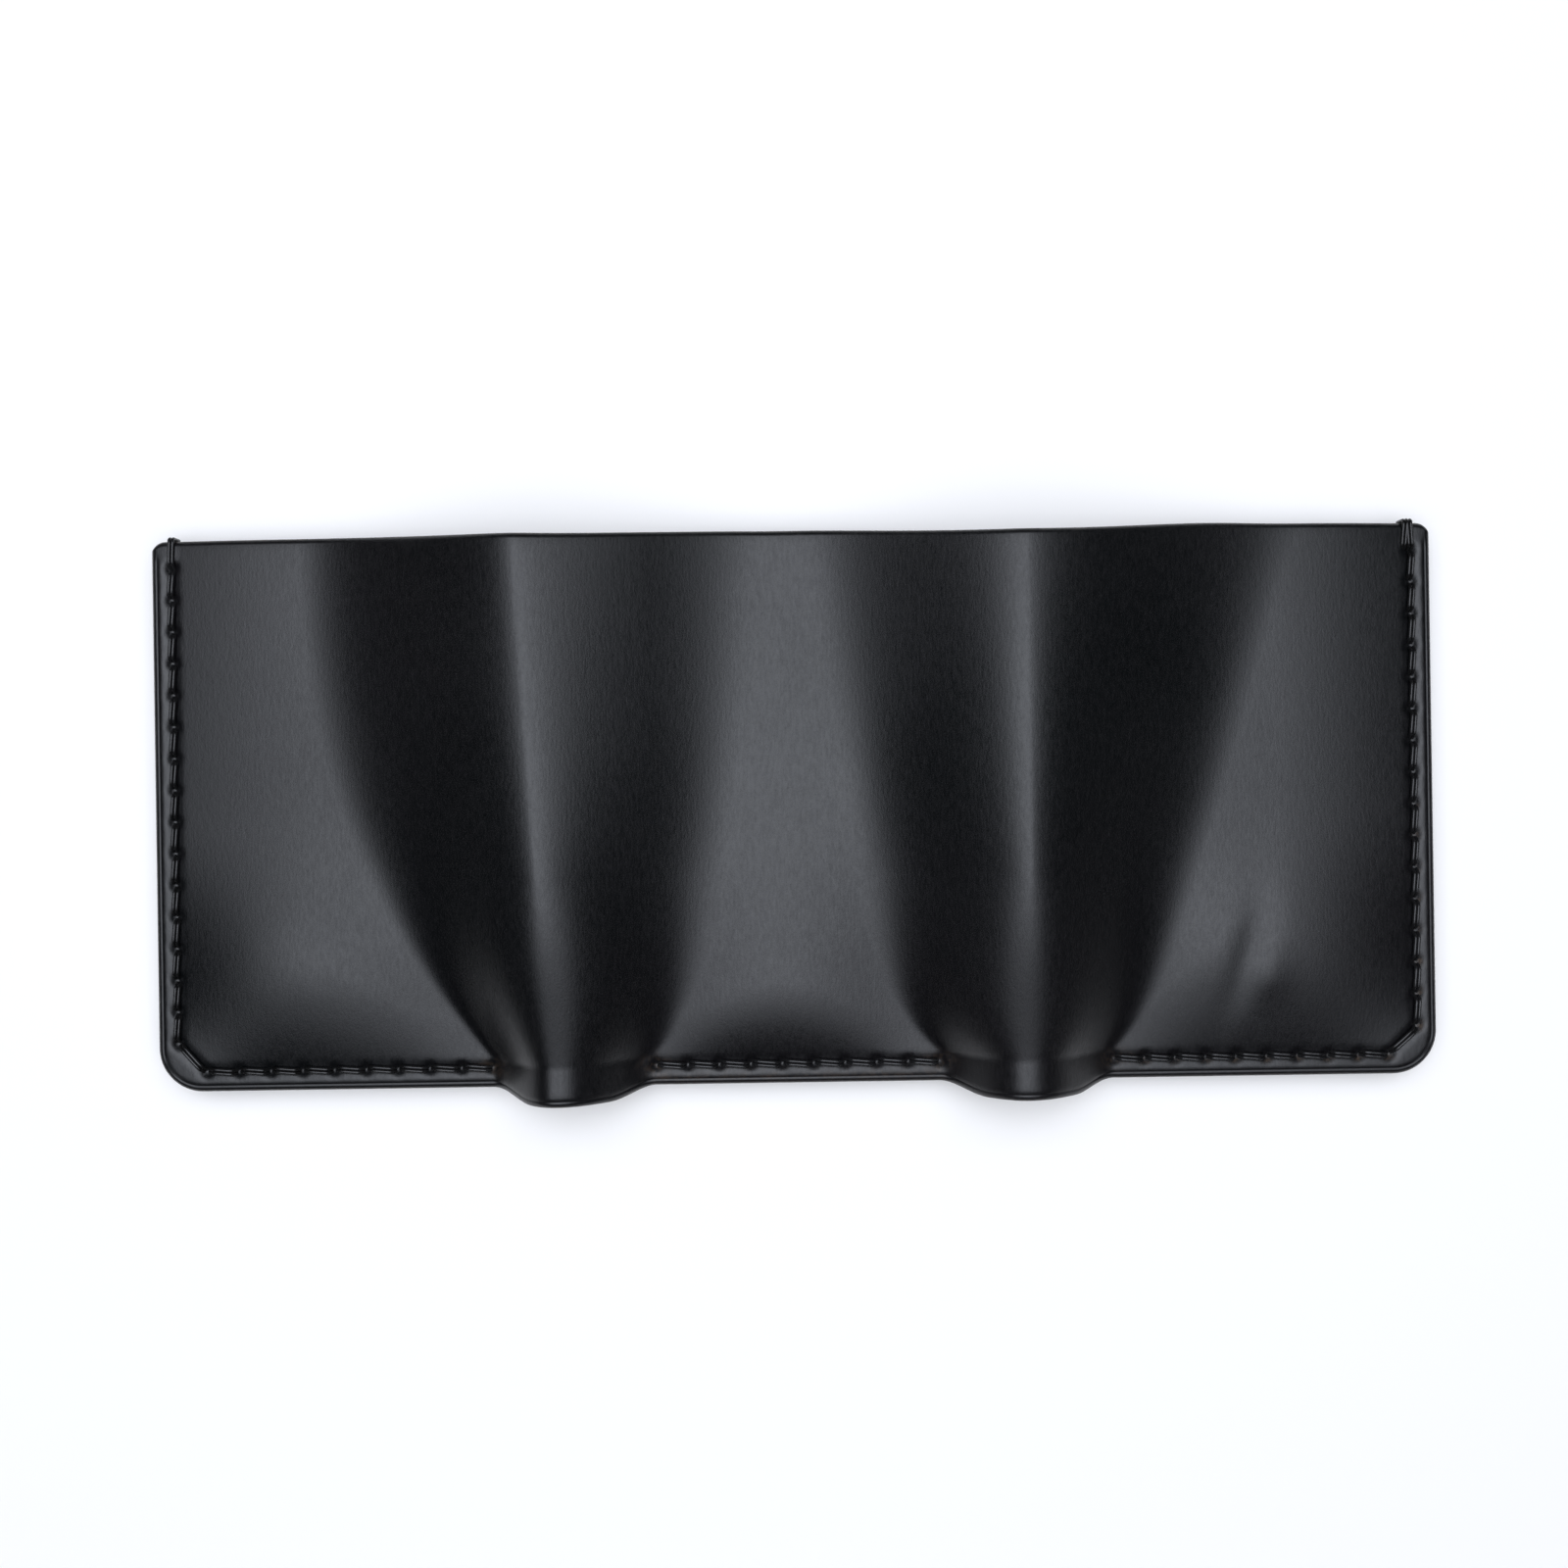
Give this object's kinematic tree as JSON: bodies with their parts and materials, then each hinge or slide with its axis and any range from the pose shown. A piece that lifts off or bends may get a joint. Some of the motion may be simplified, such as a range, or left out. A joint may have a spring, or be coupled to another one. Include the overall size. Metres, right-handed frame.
{
  "type": "trifold wallet",
  "caption": "Trifold leather wallet lying open with its card side down: a smooth outer leather that bulges over two folds, stitched edges, card pockets and a snap coin pouch.",
  "frame": {"origin": "middle of the wallet laid open, on the table under it", "axes": "+X across the open wallet to the coin pouch panel, +Y to the bill opening, +Z out of the outer leather"},
  "size_m": [0.232, 0.102, 0.0203],
  "materials": {
    "outer_leather": "glazed black",
    "liner_leather": "matt black",
    "pocket_leather": "satin black",
    "waxed_thread": "waxed",
    "snap_metal": "antique"
  },
  "bodies": {
    "middle_panel": {"outer_middle_panel": "outer_leather", "liner_middle_panel": "liner_leather", "middle_card_pocket_1": "pocket_leather", "middle_card_pocket_2": "pocket_leather", "middle_card_pocket_3": "pocket_leather", "middle_seam": "waxed_thread", "middle_pocket_seam": "waxed_thread"},
    "left_fold": {"outer_left_fold": "outer_leather", "liner_left_fold": "liner_leather"},
    "left_panel": {"outer_left_panel": "outer_leather", "liner_left_panel": "liner_leather", "left_card_pocket_1": "pocket_leather", "left_card_pocket_2": "pocket_leather", "left_card_pocket_3": "pocket_leather", "left_seam": "waxed_thread", "left_pocket_seam": "waxed_thread"},
    "right_fold": {"outer_right_fold": "outer_leather", "liner_right_fold": "liner_leather"},
    "right_panel": {"outer_right_panel": "outer_leather", "liner_right_panel": "liner_leather", "coin_pouch_back": "pocket_leather", "coin_pouch_gusset": "pocket_leather", "coin_pouch_front": "pocket_leather", "snap_stud": "snap_metal", "snap_post": "snap_metal", "right_seam": "waxed_thread", "coin_pouch_seam": "waxed_thread"},
    "coin_flap": {"coin_pouch_flap": "pocket_leather", "coin_pouch_bend": "pocket_leather", "snap_cap": "snap_metal", "snap_socket": "snap_metal"}
  },
  "joints": [
    {"name": "left_fold_inner", "type": "hinge", "parent": "middle_panel", "child": "left_fold", "pos_m": [-0.0414, 0, 0.00435], "axis": [0, -1, 0], "range_deg": [0, 90], "deforming": ["outer_left_fold", "liner_left_fold"]},
    {"name": "left_fold_outer", "type": "hinge", "parent": "left_fold", "child": "left_panel", "pos_m": [-0.0506, 0, 0.00435], "axis": [0, -1, 0], "range_deg": [0, 90]},
    {"name": "right_fold_inner", "type": "hinge", "parent": "middle_panel", "child": "right_fold", "pos_m": [0.03225, 0, 0.00275], "axis": [0, 1, 0], "range_deg": [0, 90], "deforming": ["outer_right_fold", "liner_right_fold"]},
    {"name": "right_fold_outer", "type": "hinge", "parent": "right_fold", "child": "right_panel", "pos_m": [0.05275, 0, 0.00275], "axis": [0, 1, 0], "range_deg": [0, 90]},
    {"name": "coin_flap_bend", "type": "hinge", "parent": "right_panel", "child": "coin_flap", "pos_m": [0.085, 0.02, 0.0026], "axis": [1, 0, 0], "range_deg": [0, 180], "deforming": ["coin_pouch_bend"]}
  ],
  "couplings": [
    {"joint": "left_fold_outer", "follows": "left_fold_inner", "ratio": 1},
    {"joint": "right_fold_outer", "follows": "right_fold_inner", "ratio": 1}
  ]
}
